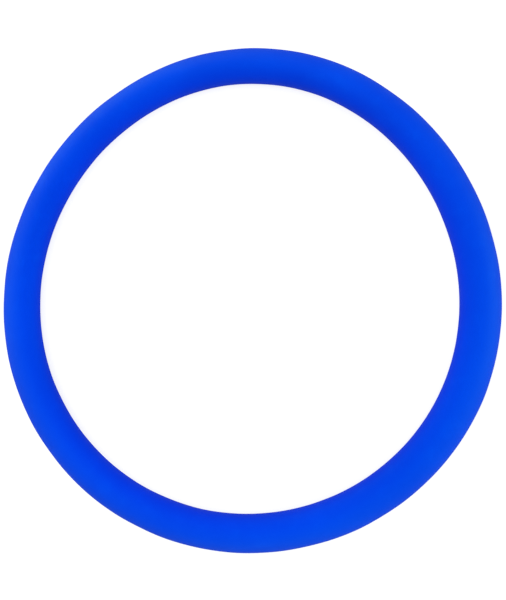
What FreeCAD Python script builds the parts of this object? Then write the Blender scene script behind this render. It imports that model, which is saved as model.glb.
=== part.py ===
"""Soft flying ring: two rubber skin shells bonded round a foam core with a stiffening hoop inside.

Millimetres, +Z up along the spin axis. The origin is on the spin axis, in the plane that the ring rests on.
Every piece but the connector is a flat section turned about Z. A section is drawn in the XZ plane, where
u is the distance outwards from the middle of the band.
"""
import FreeCAD
import Part

import math
import os

# Outer form of the ring
RING_OUTER_DIAMETER = 270.0
BAND_WIDTH = 20.0  # from the edge of the hole to the outer edge
CROWN_RISE = 9.5  # from the parting plane up to the crown
BELLY_DROP = 6.5  # from the parting plane down to the resting land
LAND_WIDTH = 5.0  # flat land under the belly, which the ring rests on

# Skin: two shells that lap at the parting plane
SKIN_WALL = 1.5
LAP_HEIGHT = 1.2  # the lower shell's lip stands this far inside the upper shell
LAP_SHARE = 0.5  # share of the wall that the lip takes
SEAM_GROOVE = 0.2  # half width and depth of the V where the two shells meet outside

# Stiffening hoop: a plastic tube bent to a circle, its ends pushed onto a connector
HOOP_TUBE_DIAMETER = 6.4
HOOP_TUBE_BORE = 4.4
CONNECTOR_LENGTH = 44.0  # along the hoop
COLLAR_LENGTH = 2.0  # the tube's two ends stop against this collar
CONNECTOR_STEM_DIAMETER = 3.8
TIP_CHAMFER = 1.0  # lead-in at each end of the stem
RIB_LENGTH = 2.0
RIB_PITCH = 4.5
RIBS_EACH_SIDE = 4
CONNECTOR_ANGLE = 90.0  # where the joint in the hoop lies, in degrees round Z from +X

# Places that follow from these
MID_RADIUS = (RING_OUTER_DIAMETER - BAND_WIDTH) / 2
PARTING_HEIGHT = BELLY_DROP
RING_HEIGHT = BELLY_DROP + CROWN_RISE
HOOP_HEIGHT = RING_HEIGHT / 2
HALF_BAND = BAND_WIDTH / 2
HALF_LAND = LAND_WIDTH / 2

AXIS_POINT = FreeCAD.Vector(0, 0, 0)
SPIN_AXIS = FreeCAD.Vector(0, 0, 1)
PARTS_FOLDER = "parts"


def place(u, height):
    """A point of the section plane, u outwards from the middle of the band."""
    return FreeCAD.Vector(MID_RADIUS + u, 0, height)


def ellipse_arc(centre_u, half_width, half_height, start, end):
    """An arc of an ellipse centred in the parting plane. Its angles run from +u towards +Z, in degrees."""
    centre = place(centre_u, PARTING_HEIGHT)
    side = centre + FreeCAD.Vector(half_width, 0, 0)
    top = centre + FreeCAD.Vector(0, 0, half_height)
    ellipse = Part.Ellipse(side, top, centre)
    return Part.ArcOfEllipse(ellipse, math.radians(start), math.radians(end)).toShape()


def ring_outline(inset):
    """The ring's section as a face: a domed crown, and a flatter belly with a flat land under it."""
    crown = ellipse_arc(0, HALF_BAND - inset, CROWN_RISE - inset, 0, 180)
    belly_width = HALF_BAND - HALF_LAND - inset
    belly_depth = BELLY_DROP - inset
    inner_belly = ellipse_arc(-HALF_LAND, belly_width, belly_depth, 180, 270)
    land = Part.makeLine(place(-HALF_LAND, inset), place(HALF_LAND, inset))
    outer_belly = ellipse_arc(HALF_LAND, belly_width, belly_depth, 270, 360)
    return Part.Face(Part.Wire([crown, inner_belly, land, outer_belly]))


def polygon(corners):
    """A flat face in the section plane, with (u, height) corners."""
    points = [place(u, height) for u, height in corners]
    return Part.Face(Part.makePolygon(points + points[:1]))


def block(u_low, u_high, low, high):
    """A rectangle of the section plane."""
    return polygon([(u_low, low), (u_high, low), (u_high, high), (u_low, high)])


def disc(diameter):
    """A round section of the hoop, at its place inside the foam."""
    circle = Part.makeCircle(diameter / 2, place(0, HOOP_HEIGHT), FreeCAD.Vector(0, 1, 0))
    return Part.Face(Part.Wire([circle]))


def turned(section, start=0.0, sweep=360.0):
    """The solid that a section makes when it is turned about the spin axis, from start, in degrees."""
    solid = section.Faces[0].revolve(AXIS_POINT, SPIN_AXIS, sweep)
    solid.rotate(AXIS_POINT, SPIN_AXIS, start)
    return solid


def arc_angle(length):
    """The angle round the spin axis, in degrees, that a length along the hoop covers."""
    return math.degrees(length / MID_RADIUS)


def skin_shells():
    """The upper and lower skin shells. The lower one's lip laps inside the upper one, for the bond."""
    wall = ring_outline(0).cut(ring_outline(SKIN_WALL))
    for side in (-1, 1):
        edge = side * HALF_BAND
        groove = polygon(
            [
                (edge, PARTING_HEIGHT - SEAM_GROOVE),
                (edge + SEAM_GROOVE, PARTING_HEIGHT),
                (edge, PARTING_HEIGHT + SEAM_GROOVE),
                (edge - SEAM_GROOVE, PARTING_HEIGHT),
            ]
        )
        wall = wall.cut(groove)
    lip_edge = HALF_BAND - SKIN_WALL * (1 - LAP_SHARE)
    below = block(-BAND_WIDTH, BAND_WIDTH, -1, PARTING_HEIGHT)
    lips = block(-lip_edge, lip_edge, PARTING_HEIGHT, PARTING_HEIGHT + LAP_HEIGHT)
    lower_side = below.fuse(lips).removeSplitter()
    return turned(wall.cut(lower_side)), turned(wall.common(lower_side))


def foam_halves():
    """The two foam rings that fill the skin, split at the hoop's middle, each with half of its channel."""
    filling = ring_outline(SKIN_WALL).cut(disc(HOOP_TUBE_DIAMETER))
    lower_side = block(-BAND_WIDTH, BAND_WIDTH, 0, HOOP_HEIGHT)
    upper, lower = filling.cut(lower_side), filling.common(lower_side)
    return turned(upper), turned(lower)


def hoop_tube():
    """The tube that keeps the ring round, open where the connector's collar stands between its ends."""
    gap = arc_angle(COLLAR_LENGTH)
    section = disc(HOOP_TUBE_DIAMETER).cut(disc(HOOP_TUBE_BORE))
    return turned(section, CONNECTOR_ANGLE + gap / 2, 360 - gap)


def hoop_connector():
    """The plug inside the tube's ends: a stem with tapered tips, a collar in the middle, and ribs that grip the bore."""

    def length_of(diameter, middle, length):
        """A round stretch of the connector whose middle lies that far along the hoop."""
        start = CONNECTOR_ANGLE + arc_angle(middle - length / 2)
        return turned(disc(diameter), start, arc_angle(length))

    stem = length_of(CONNECTOR_STEM_DIAMETER, 0, CONNECTOR_LENGTH)
    rims = [edge for edge in stem.Edges if edge.Length < CONNECTOR_LENGTH / 2]
    stem = stem.makeChamfer(TIP_CHAMFER, rims)
    rings = [length_of(HOOP_TUBE_DIAMETER, 0, COLLAR_LENGTH)]
    for side in (-1, 1):
        for rib in range(1, RIBS_EACH_SIDE + 1):
            rings.append(length_of(HOOP_TUBE_BORE, side * rib * RIB_PITCH, RIB_LENGTH))
    return stem.fuse(rings).removeSplitter()


def main():
    upper_skin, lower_skin = skin_shells()
    upper_foam, lower_foam = foam_halves()
    nodes = {
        "upper_skin": upper_skin,
        "lower_skin": lower_skin,
        "upper_foam_core": upper_foam,
        "lower_foam_core": lower_foam,
        "hoop_tube": hoop_tube(),
        "hoop_connector": hoop_connector(),
    }
    os.makedirs(PARTS_FOLDER, exist_ok=True)
    for name, shape in nodes.items():
        shape.exportStep(os.path.join(PARTS_FOLDER, name + ".step"))
        box = shape.optimalBoundingBox()
        print(
            f"{name}: {len(shape.Solids)} solid, valid {shape.isValid()}, {shape.Volume / 1000:.2f} cm3, "
            f"{box.XLength:.2f} x {box.YLength:.2f} x {box.ZLength:.2f} mm"
        )


main()
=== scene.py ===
"""Soft flying ring: its looks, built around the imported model.

Metres, +Z up, and the ring lies on its flat land. Each rubber or foam piece is a flat section turned round
the spin axis. A section's points have u, how far out they are from the middle of the band, and z, the height.
"""

import math
from collections import namedtuple

import bmesh
import bpy
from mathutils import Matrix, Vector


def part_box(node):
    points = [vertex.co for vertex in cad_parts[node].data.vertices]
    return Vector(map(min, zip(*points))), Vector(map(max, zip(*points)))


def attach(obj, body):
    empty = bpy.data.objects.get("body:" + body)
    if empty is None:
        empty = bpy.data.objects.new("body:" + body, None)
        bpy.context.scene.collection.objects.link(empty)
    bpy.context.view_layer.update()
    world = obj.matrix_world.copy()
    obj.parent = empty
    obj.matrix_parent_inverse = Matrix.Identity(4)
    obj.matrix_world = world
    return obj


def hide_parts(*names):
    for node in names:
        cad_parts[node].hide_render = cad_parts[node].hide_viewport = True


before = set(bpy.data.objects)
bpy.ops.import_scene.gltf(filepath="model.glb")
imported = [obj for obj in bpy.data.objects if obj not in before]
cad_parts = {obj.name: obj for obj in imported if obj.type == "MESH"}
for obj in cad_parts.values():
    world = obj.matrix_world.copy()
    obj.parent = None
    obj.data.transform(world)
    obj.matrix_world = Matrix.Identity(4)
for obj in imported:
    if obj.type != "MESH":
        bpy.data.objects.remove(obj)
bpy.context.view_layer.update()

MM = 0.001

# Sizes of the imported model
OUTER_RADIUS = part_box("upper_skin")[1].x
INNER_RADIUS = min(math.hypot(v.co.x, v.co.y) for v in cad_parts["upper_skin"].data.vertices)
MID_RADIUS = (OUTER_RADIUS + INNER_RADIUS) / 2
HALF_BAND = (OUTER_RADIUS - INNER_RADIUS) / 2
CROWN_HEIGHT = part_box("upper_skin")[1].z
PARTING_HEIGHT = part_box("upper_skin")[0].z
LAP_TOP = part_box("lower_skin")[1].z
FOAM_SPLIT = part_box("lower_foam_core")[1].z
WALL = CROWN_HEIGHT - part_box("upper_foam_core")[1].z
HOOP_RADIUS = (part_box("hoop_tube")[1].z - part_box("hoop_tube")[0].z) / 2
LIP_EDGE = HALF_BAND - WALL / 2  # the lap takes half of the wall

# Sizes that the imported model's boxes don't tell
HALF_LAND = 2.5 * MM
SEAM_ROUND = 0.25 * MM  # radius of the skins' edges along the parting line

# The soft ring has set a little out of round. Each row has the number of lobes round the ring, their height,
# and where one of them has its top, in degrees.
BAND_SHIFT = [(3, 0.82 * MM, -32), (4, 0.18 * MM, -10)]  # moves the whole band outwards
BAND_SWELL = [(1, 0.29 * MM, -97), (2, 0.32 * MM, 4)]  # widens the band on each side of its middle

# Shallow ripples of the moulded surface. Each row has the number of waves round the ring, their height,
# how far they lean across the band, and where they start.
RIPPLES = [
    (11, 0.05 * MM, 1.1, 0.4),
    (17, 0.04 * MM, -1.7, 2.1),
    (26, 0.03 * MM, 2.3, 5.0),
    (37, 0.015 * MM, -3.1, 3.3),
]

# How finely the meshes are cut
STEPS_AROUND = 480
ARC_STEPS = 48  # over the crown's outside
LIP_STEPS = 4  # round the edge of a skin
HOOP_STEPS = 16  # round half of the hoop
SPLIT_STEPS = 5  # across the foam's split face, on each side of the hoop
SHARP_ANGLE = math.radians(40)  # a bend between faces that stays a crisp edge

# Camera: over the ring, leaning a little off the spin axis
CAMERA_DISTANCE = 402.6 * MM
CAMERA_TILT = 11.6  # degrees off the spin axis
CAMERA_SIDE = -16.0  # the side that it leans to, in degrees round Z from +X
CAMERA_STEP = Vector((8.15 * MM, -1.4 * MM, 0))  # along its own right and its own up
LENS = 45.06

# Floor and room
FLOOR_HALF_WIDTH = 3.0
FLOOR_GLOW = 0.8  # the floor's own light, which keeps shadows on it faint
ROOM_LIGHT = 0.475  # the room's light on the ring
BACKDROP_BRIGHTNESS = 0.93  # the room to look at, which matches the far floor

# Soft square lights aimed at the ring. Each row has its name, degrees round Z from +X, degrees above the
# floor, distance, width and watts.
LIGHTS = [
    ("overhead", 0, 90, 1.5, 0.9, 6.0),
    ("low_right", 0, 20, 1.5, 0.9, 10.4),
    ("low_left", 130, 20, 1.5, 0.9, 8.9),
    ("near_left", 180, 31, 0.58, 0.35, 0.55),
    ("near_front", 270, 31, 0.58, 0.35, 0.54),
]

# A section's point: u, z, how far it follows the ring's soft set (0 to 1), and where the surface ripples its
# angle round the section
Point = namedtuple("Point", "u z follows proud", defaults=(1.0, None))


def waves(lobes, angle):
    """The sum of some lobes at one angle round the ring."""
    return sum(high * math.cos(count * (angle - math.radians(top))) for count, high, top in lobes)


def ripple(angle, across):
    """How proud the moulded surface stands at one angle round the ring and one across the band."""
    return sum(high * math.sin(count * angle + lean * across + start) for count, high, lean, start in RIPPLES)


def arc(centre_u, half_width, half_height, start, end, steps, outside):
    """Points of an ellipse's arc centred at the parting height. Degrees run from +u towards +z."""
    points = []
    for step in range(steps + 1):
        angle = math.radians(start + (end - start) * step / steps)
        u = centre_u + half_width * math.cos(angle)
        z = PARTING_HEIGHT + half_height * math.sin(angle)
        points.append(Point(u, z, proud=angle if outside else None))
    return points


def crown(inset, low, steps):
    """The dome from its outer side to its inner side, above the height low."""
    rise = CROWN_HEIGHT - PARTING_HEIGHT - inset
    start = math.degrees(math.asin((low - PARTING_HEIGHT) / rise))
    return arc(0, HALF_BAND - inset, rise, start, 180 - start, steps, outside=inset == 0)


def belly(inset, high, steps):
    """The underside from its inner side to its outer side, below the height high."""
    width = HALF_BAND - HALF_LAND - inset
    drop = PARTING_HEIGHT - inset
    start = math.degrees(math.asin((PARTING_HEIGHT - high) / drop))
    outside = inset == 0
    inner = arc(-HALF_LAND, width, drop, 180 + start, 270, steps, outside)
    outer = arc(HALF_LAND, width, drop, 270, 360 - start, steps, outside)
    land = [Point(HALF_LAND * share, inset) for share in (-0.5, 0, 0.5)]
    return inner + land + outer


def lip(side, above, start, end):
    """The rounded edge of a skin at the parting line, on the outer (1) or inner (-1) side of the band."""
    points = []
    for step in range(LIP_STEPS + 1):
        angle = math.radians(start + (end - start) * step / LIP_STEPS)
        u = side * (HALF_BAND - SEAM_ROUND) + SEAM_ROUND * math.cos(angle)
        z = PARTING_HEIGHT + above * SEAM_ROUND + SEAM_ROUND * math.sin(angle)
        points.append(Point(u, z))
    return points


def upper_skin_section():
    """The domed shell, with the step that the lower skin's lip laps into."""
    outside = crown(0, PARTING_HEIGHT + SEAM_ROUND, ARC_STEPS)[1:-1]
    inside = crown(WALL, LAP_TOP, ARC_STEPS // 2)[::-1]
    inner_step = [Point(-LIP_EDGE, PARTING_HEIGHT), Point(-LIP_EDGE, LAP_TOP)]
    outer_step = [Point(LIP_EDGE, LAP_TOP), Point(LIP_EDGE, PARTING_HEIGHT)]
    return lip(1, 1, -90, 0) + outside + lip(-1, 1, 180, 270) + inner_step + inside + outer_step


def lower_wall(top):
    """The lower skin's inside, from the outer side at the height top, round the bottom, to the inner side."""
    side = crown(WALL, PARTING_HEIGHT, ARC_STEPS)[1:-1]
    outer_side = [point for point in side if point.u > 0 and point.z < top]
    inner_side = [point for point in side if point.u < 0 and point.z < top]
    bottom = belly(WALL, PARTING_HEIGHT, ARC_STEPS // 6)
    rim = crown(WALL, top, 2)
    return [rim[0]] + outer_side[::-1] + bottom[::-1] + inner_side[::-1] + [rim[-1]]


def lower_skin_section():
    """The flatter shell, with the land under it and a lip at each edge."""
    outside = belly(0, PARTING_HEIGHT - SEAM_ROUND, ARC_STEPS // 3)[1:-1]
    outer_lip = [Point(LIP_EDGE, PARTING_HEIGHT), Point(LIP_EDGE, LAP_TOP)]
    inner_lip = [Point(-LIP_EDGE, LAP_TOP), Point(-LIP_EDGE, PARTING_HEIGHT)]
    return lip(-1, -1, 90, 180) + outside + lip(1, -1, 0, 90) + outer_lip + lower_wall(LAP_TOP) + inner_lip


def channel(start, end):
    """The foam's face round the hoop, and the split face on both sides of it, from the inner side outwards.

    The closer a point is to the hoop, the less it follows the soft set, because the hoop stays round.
    """
    edge = crown(WALL, FOAM_SPLIT, 2)[0].u
    inner_face = []
    for step in range(1, SPLIT_STEPS):
        share = 1 - step / SPLIT_STEPS
        inner_face.append(Point(-HOOP_RADIUS - (edge - HOOP_RADIUS) * share, FOAM_SPLIT, follows=share))
    half_round = []
    for step in range(HOOP_STEPS + 1):
        angle = math.radians(start + (end - start) * step / HOOP_STEPS)
        u = HOOP_RADIUS * math.cos(angle)
        half_round.append(Point(u, FOAM_SPLIT + HOOP_RADIUS * math.sin(angle), follows=0))
    outer_face = [Point(-point.u, FOAM_SPLIT, follows=point.follows) for point in inner_face[::-1]]
    return inner_face + half_round + outer_face


def upper_foam_section():
    """The foam above the hoop's middle, with the upper half of the channel."""
    return crown(WALL, FOAM_SPLIT, ARC_STEPS // 2) + channel(180, 0)


def lower_foam_section():
    """The foam below the hoop's middle, with the lower half of the channel."""
    return lower_wall(FOAM_SPLIT) + channel(180, 360)


def settled(point, angle):
    """Where a section's point lies at one angle round the ring, with the soft set and the ripples.

    The ripples fade towards the ground, so that the ring still lies flat.
    """
    swell = point.u / HALF_BAND * waves(BAND_SWELL, angle)
    u = point.u + point.follows * (waves(BAND_SHIFT, angle) + swell)
    z = point.z
    if point.proud is not None:
        high = ripple(angle, point.proud) * min(1, point.z / PARTING_HEIGHT)
        u += high * math.cos(point.proud)
        z += high * math.sin(point.proud)
    return Vector(((MID_RADIUS + u) * math.cos(angle), (MID_RADIUS + u) * math.sin(angle), z))


def turned(name, section):
    """A closed, smooth mesh piece from a section's points, turned round the spin axis."""
    shape = bmesh.new()
    rings = []
    for step in range(STEPS_AROUND):
        angle = 2 * math.pi * step / STEPS_AROUND
        rings.append([shape.verts.new(settled(point, angle)) for point in section])
    for here, there in zip(rings, rings[1:] + rings[:1]):
        for k in range(len(section)):
            shape.faces.new((here[k - 1], there[k - 1], there[k], here[k]))
    bmesh.ops.recalc_face_normals(shape, faces=shape.faces)
    mesh = bpy.data.meshes.new(name)
    shape.to_mesh(mesh)
    shape.free()
    mesh.shade_smooth()
    mesh.set_sharp_from_angle(angle=SHARP_ANGLE)
    piece = bpy.data.objects.new(name, mesh)
    bpy.context.scene.collection.objects.link(piece)
    return piece


class Value:
    """A socket in one material. Sums and products of it add Math nodes, and node() adds any other node."""

    def __init__(self, tree, socket=None):
        self.tree = tree
        self.socket = socket

    def node(self, kind, settings=None, sockets=None, output=0):
        """The output of a new node: its settings come first, then the values or links of its sockets."""
        made = self.tree.nodes.new(kind)
        for name, setting in (settings or {}).items():
            setattr(made, name, setting)
        for name, value in (sockets or {}).items():
            if isinstance(value, Value):
                self.tree.links.new(value.socket, made.inputs[name])
            else:
                made.inputs[name].default_value = value
        return Value(self.tree, made.outputs[output])

    def maths(self, operation, *values):
        return self.node("ShaderNodeMath", {"operation": operation}, dict(enumerate(values)))

    def __add__(self, other):
        return self.maths("ADD", self, other)

    def __radd__(self, other):
        return self.maths("ADD", other, self)

    def __sub__(self, other):
        return self.maths("SUBTRACT", self, other)

    def __rsub__(self, other):
        return self.maths("SUBTRACT", other, self)

    def __mul__(self, other):
        return self.maths("MULTIPLY", self, other)

    def __rmul__(self, other):
        return self.maths("MULTIPLY", other, self)

    def noise(self, size, detail=2.0):
        """Noise from 0 to 1 at this place, its grains about that size across, in metres."""
        settings = {"Vector": self, "Scale": 1 / size, "Detail": detail}
        return self.node("ShaderNodeTexNoise", {}, settings)

    def smooth_step(self, low, high):
        """0 where this is below low, 1 where it is above high, and smooth between."""
        sockets = {"Value": self, "From Min": low, "From Max": high}
        return self.node("ShaderNodeMapRange", {"interpolation_type": "SMOOTHSTEP"}, sockets)

    def blended(self, below, above):
        """A colour that goes from below, where this is 0, to above, where it is 1."""
        sockets = {0: self, 6: below, 7: above}
        return self.node("ShaderNodeMix", {"data_type": "RGBA"}, sockets, output=2)

    def bump(self, depth):
        """A normal from this as a height, depth metres for a height of 1."""
        return self.node("ShaderNodeBump", {}, {"Height": self, "Distance": depth})


def new_material(name):
    """A material with no nodes yet, and the place on the surface, in metres."""
    material = bpy.data.materials.new(name)
    material.use_nodes = True
    material.node_tree.nodes.clear()
    place = Value(material.node_tree).node("ShaderNodeTexCoord", output="Object")
    return material, place


def surface(place, sockets):
    """Ends a material in one Principled shader."""
    shader = place.node("ShaderNodeBsdfPrincipled", {}, sockets)
    ending = place.tree.nodes.new("ShaderNodeOutputMaterial")
    place.tree.links.new(shader.socket, ending.inputs["Surface"])


def from_axis(place):
    """How far a place is from the spin axis, and how high it is, in metres."""
    flat = place.node("ShaderNodeVectorMath", {"operation": "MULTIPLY"}, {0: place, 1: (1, 1, 0)})
    radius = place.node("ShaderNodeVectorMath", {"operation": "LENGTH"}, {0: flat}, output="Value")
    height = place.node("ShaderNodeSeparateXYZ", {}, {0: place}, output="Z")
    return radius, height


def blue_rubber():
    """Matte moulded rubber with a pebbled grain, and scuffs where the ring touches the ground.

    A faint bloom clouds it. A painted shade makes its blue darker towards the hole, and a painted sheen makes
    it more cyan towards the outer edge.
    """
    material, place = new_material("blue_rubber")
    radius, height = from_axis(place)
    # Painted shade and sheen across the band: this mask runs from the hole, where the blue is darkened, to
    # the outer edge, where it is made more cyan.
    outwards = radius.smooth_step(INNER_RADIUS, OUTER_RADIUS)
    clouds = place.noise(45 * MM, detail=3)
    handled = place.noise(9 * MM, detail=4).smooth_step(0.5, 0.75)
    grain = place.noise(0.45 * MM, detail=3)
    pebbles = place.node("ShaderNodeTexVoronoi", {}, {"Vector": place, "Scale": 1 / (0.8 * MM)})
    rubbed = place.noise(14 * MM).smooth_step(0.35, 0.65) * (1 - height.smooth_step(0, 0.9 * MM))
    scuffs = place.noise(1.3 * MM, detail=6).smooth_step(0.5, 0.68) * rubbed
    bloom = clouds.smooth_step(0.3, 0.75) * 0.6 + grain * 0.25 + handled * 0.15
    # Painted shade towards the hole and painted sheen towards the outer edge, each clouded by the bloom.
    painted_shade_blue = bloom.blended((0.0, 0.018, 0.685, 1), (0.0, 0.028, 0.76, 1))
    painted_sheen_blue = bloom.blended((0.0, 0.036, 0.685, 1), (0.0, 0.055, 0.76, 1))
    bloom_with_painted_sheen_and_shade = outwards.blended(painted_shade_blue, painted_sheen_blue)
    colour = (scuffs * 0.3).blended(bloom_with_painted_sheen_and_shade, (0.14, 0.2, 0.5, 1))
    sockets = {
        "Base Color": colour,
        "Roughness": 0.61 + clouds * 0.06 + grain * 0.06 - handled * 0.06 + scuffs * 0.2,
        "Normal": (pebbles * 0.6 + grain * 0.7).bump(0.05 * MM),
        "Specular IOR Level": 0.45,
        "Specular Tint": (0.0, 0.9, 1.0, 1),
    }
    surface(place, sockets)
    return material


def core_foam():
    """Off-white closed-cell foam."""
    material, place = new_material("core_foam")
    cells = place.node("ShaderNodeTexVoronoi", {}, {"Vector": place, "Scale": 1 / (0.8 * MM)})
    clouds = place.noise(12 * MM)
    colour = (cells * 0.5 + clouds * 0.3).blended((0.72, 0.72, 0.68, 1), (0.92, 0.92, 0.89, 1))
    sockets = {
        "Base Color": colour,
        "Roughness": 0.75 + clouds * 0.15,
        "Normal": cells.bump(0.2 * MM),
    }
    surface(place, sockets)
    return material


def hoop_plastic():
    """Natural polyethylene, with the faint lines that extrusion leaves along the tube."""
    material, place = new_material("hoop_plastic")
    radius, height = from_axis(place)
    section = place.node("ShaderNodeCombineXYZ", {}, {"X": radius, "Y": height})
    lines = section.noise(0.4 * MM, detail=3)
    clouds = place.noise(20 * MM)
    sockets = {
        "Base Color": clouds.blended((0.82, 0.84, 0.82, 1), (0.92, 0.93, 0.91, 1)),
        "Roughness": 0.28 + lines * 0.15,
        "Normal": lines.bump(0.02 * MM),
    }
    surface(place, sockets)
    return material


def connector_plastic():
    """Black moulded plastic with a fine spark-eroded grain."""
    material, place = new_material("connector_plastic")
    grain = place.noise(0.3 * MM, detail=3)
    sockets = {
        "Base Color": grain.blended((0.012, 0.012, 0.014, 1), (0.035, 0.035, 0.038, 1)),
        "Roughness": 0.38 + grain * 0.2,
        "Normal": grain.bump(0.02 * MM),
    }
    surface(place, sockets)
    return material


def add_piece(name, node, section, material):
    """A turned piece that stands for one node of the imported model."""
    piece = turned(name, section)
    piece.data.materials.append(material)
    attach(piece, "root")
    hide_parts(node)
    return piece


def finish_node(node, material):
    """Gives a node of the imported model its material."""
    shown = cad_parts[node]
    shown.data.materials.clear()
    shown.data.materials.append(material)


def add_ring():
    """The ring's four moulded pieces, and materials for the hoop and its connector."""
    rubber = blue_rubber()
    add_piece("moulded_upper_skin", "upper_skin", upper_skin_section(), rubber)
    add_piece("moulded_lower_skin", "lower_skin", lower_skin_section(), rubber)
    foam = core_foam()
    upper = add_piece("upper_foam_ring", "upper_foam_core", upper_foam_section(), foam)
    lower = add_piece("lower_foam_ring", "lower_foam_core", lower_foam_section(), foam)
    finish_node("hoop_tube", hoop_plastic())
    finish_node("hoop_connector", connector_plastic())


def add_floor():
    """A plain white floor with a glow of its own, which the ring lies on."""
    signs = [(-1, -1), (1, -1), (1, 1), (-1, 1)]
    corners = [(x * FLOOR_HALF_WIDTH, y * FLOOR_HALF_WIDTH, 0) for x, y in signs]
    mesh = bpy.data.meshes.new("floor")
    mesh.from_pydata(corners, [], [(0, 1, 2, 3)])
    floor = bpy.data.objects.new("floor", mesh)
    floor.visible_diffuse = False  # it is bright to look at, but throws no light up at the ring
    floor.visible_glossy = False
    bpy.context.scene.collection.objects.link(floor)
    material, place = new_material("floor_white")
    sockets = {
        "Base Color": (0.3, 0.3, 0.3, 1),
        "Roughness": 0.9,
        "Specular IOR Level": 0.1,
        "Emission Color": (1, 1, 1, 1),
        "Emission Strength": FLOOR_GLOW,
    }
    surface(place, sockets)
    mesh.materials.append(material)


def add_light(name, azimuth, elevation, distance, size, watts):
    """A square soft light aimed at the ring's middle. Azimuth is round Z from +X, in degrees."""
    data = bpy.data.lights.new(name, "AREA")
    data.size = size
    data.energy = watts
    light = bpy.data.objects.new(name, data)
    turn, rise = math.radians(azimuth), math.radians(elevation)
    away = Vector((math.cos(turn) * math.cos(rise), math.sin(turn) * math.cos(rise), math.sin(rise)))
    light.location = away * distance
    light.rotation_euler = (-away).to_track_quat("-Z", "Y").to_euler()
    light.visible_camera = False
    bpy.context.scene.collection.objects.link(light)


def add_world():
    """A room that gives even light from all round, and looks nearly white itself."""
    world = bpy.data.worlds.new("pale_room")
    bpy.context.scene.world = world
    world.use_nodes = True
    nodes = world.node_tree.nodes
    seen = Value(world.node_tree).node("ShaderNodeLightPath", output="Is Camera Ray")
    strength = seen * (BACKDROP_BRIGHTNESS - ROOM_LIGHT) + ROOM_LIGHT
    world.node_tree.links.new(strength.socket, nodes["Background"].inputs["Strength"])
    nodes["Background"].inputs["Color"].default_value = (1, 1, 1, 1)


def add_camera():
    """The camera. It looks straight down its lean, from a small step aside."""
    tilt, side = math.radians(CAMERA_TILT), math.radians(CAMERA_SIDE)
    back = Vector((math.sin(tilt) * math.cos(side), math.sin(tilt) * math.sin(side), math.cos(tilt)))
    turn = Vector((0, 0, 1)).rotation_difference(back)
    data = bpy.data.cameras.new("camera")
    data.lens = LENS
    camera = bpy.data.objects.new("camera", data)
    camera.location = Vector((0, 0, PARTING_HEIGHT)) + back * CAMERA_DISTANCE + turn @ CAMERA_STEP
    camera.rotation_euler = turn.to_euler()
    bpy.context.scene.collection.objects.link(camera)
    bpy.context.scene.camera = camera


add_camera()
add_ring()
add_floor()
add_world()
for light in LIGHTS:
    add_light(*light)
bpy.context.scene.view_settings.view_transform = "Standard"
